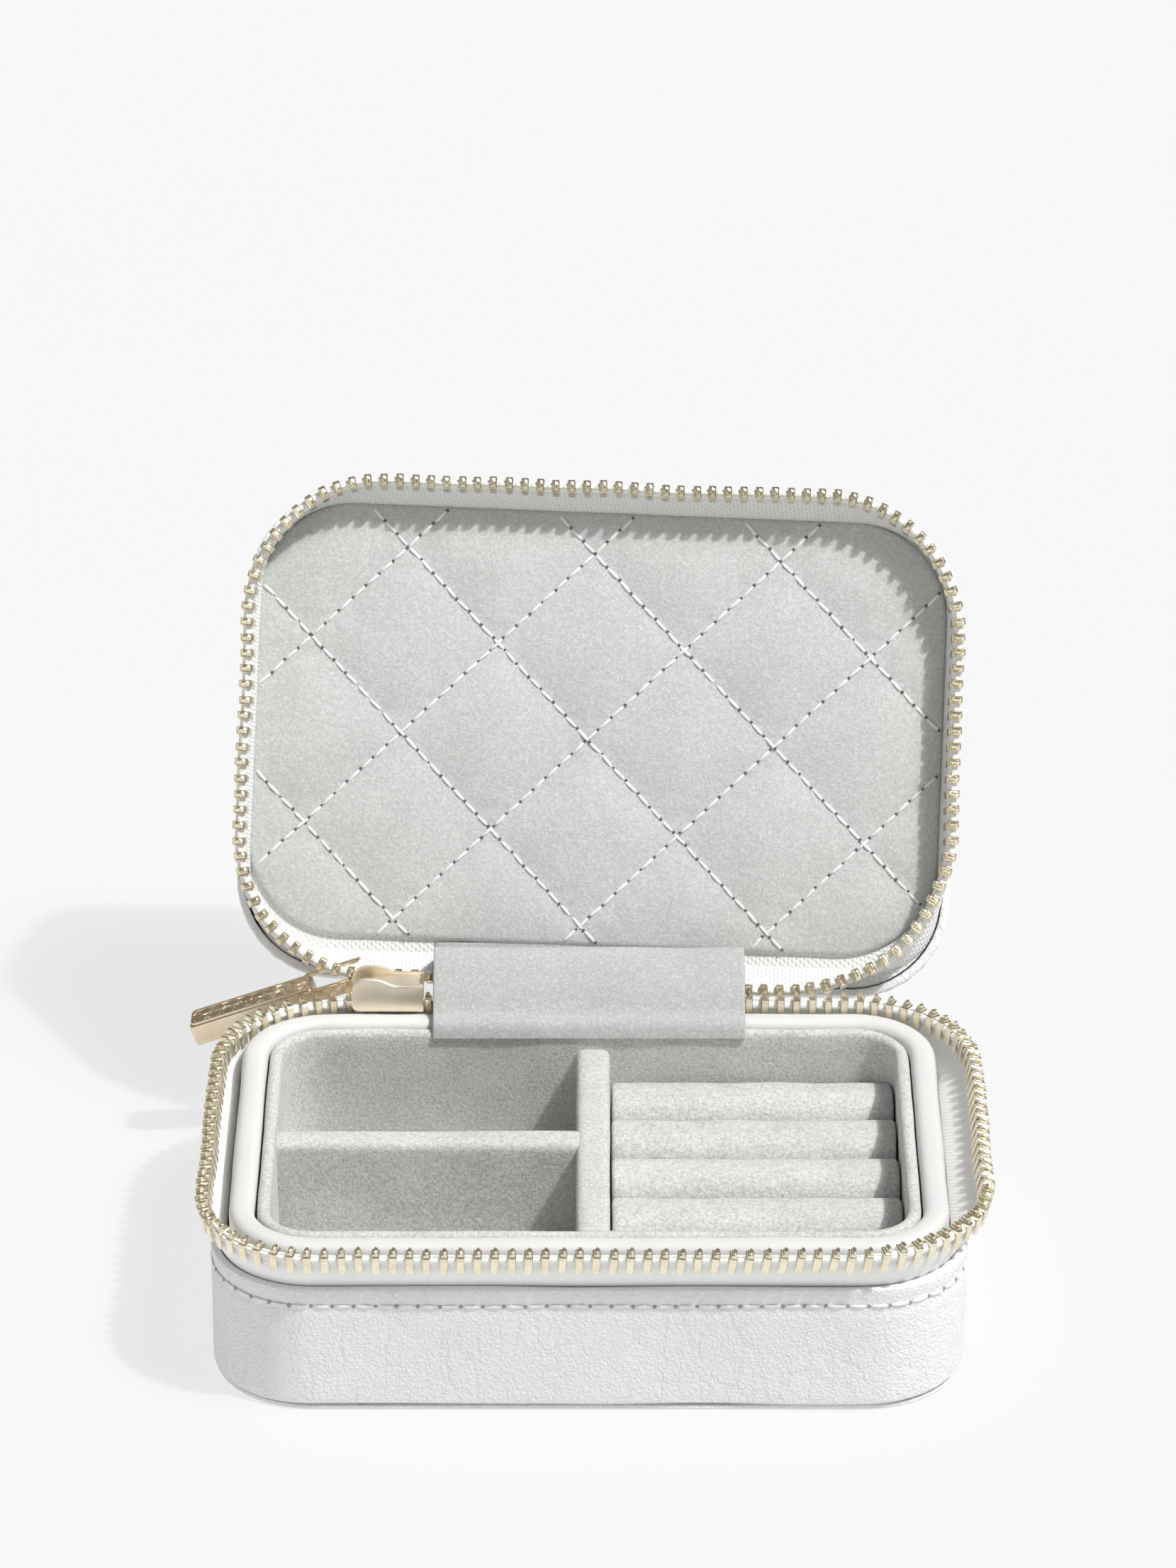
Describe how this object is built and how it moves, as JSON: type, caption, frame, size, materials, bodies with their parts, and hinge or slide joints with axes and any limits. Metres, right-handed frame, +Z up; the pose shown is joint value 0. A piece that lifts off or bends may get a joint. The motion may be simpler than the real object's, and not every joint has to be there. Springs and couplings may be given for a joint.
{
  "type": "travel jewelry box",
  "caption": "Open zip-around travel jewelry box, white leatherette, velvet compartments, ring rolls and a quilted lid lining.",
  "frame": {"origin": "centre of the base's underside, on the surface it stands on", "axes": "+Z up, +X to the right seen from the front, +Y to the back where the lid is hinged"},
  "size_m": [0.1185, 0.1353, 0.0958],
  "materials": {
    "leather": "matte, pebbled",
    "rim_leather": "smooth matte",
    "velvet": "short velvet pile",
    "greyboard": "matte board",
    "foam": "matte foam",
    "tape": "woven",
    "gold": "polished pale gold"
  },
  "bodies": {
    "base": {"bottom_panel": "leather", "base_wall_wrap": "leather", "spine_strip": "leather", "inner_collar": "rim_leather", "velvet_liner": "velvet", "long_divider": "velvet", "cross_divider": "velvet", "ring_roll_1": "velvet", "ring_roll_2": "velvet", "ring_roll_3": "velvet", "ring_roll_4": "velvet", "ring_roll_5": "velvet", "hinge_flap": "velvet", "base_frame_board": "greyboard", "ring_roll_core": "foam", "zip_tape_base": "tape", "zip_teeth_base": "gold", "bottom_stop": "gold", "top_stop_base": "gold"},
    "lid": {"lid_top_panel": "leather", "lid_wall_wrap": "leather", "lid_frame_board": "greyboard", "lid_foam_core": "foam", "pad_backing_board": "greyboard", "quilted_pad": "velvet", "lid_rear_facing": "rim_leather", "zip_tape_lid": "tape", "zip_teeth_lid": "gold", "top_stop_lid": "gold"},
    "slider": {"slider_body": "gold"},
    "pull": {"pull_tab": "gold"}
  },
  "joints": [
    {"name": "lid_hinge", "type": "hinge", "parent": "base", "child": "lid", "pos_m": [0, 0.0381, 0.02795], "axis": [-0.9997, 0.0201, 0.0115], "range_deg": [-120.6, 10], "deforming": ["hinge_flap", "spine_strip"]},
    {"name": "slider_slide", "type": "slide", "parent": "base", "child": "slider", "axis": [1, 0, 0], "range_m": [-0.0018, 0.0012]},
    {"name": "pull_swing", "type": "hinge", "parent": "slider", "child": "pull", "pos_m": [-0.0345, 0.0388, 0.02855], "axis": [0, -1, 0], "range_deg": [-6, 65]}
  ]
}
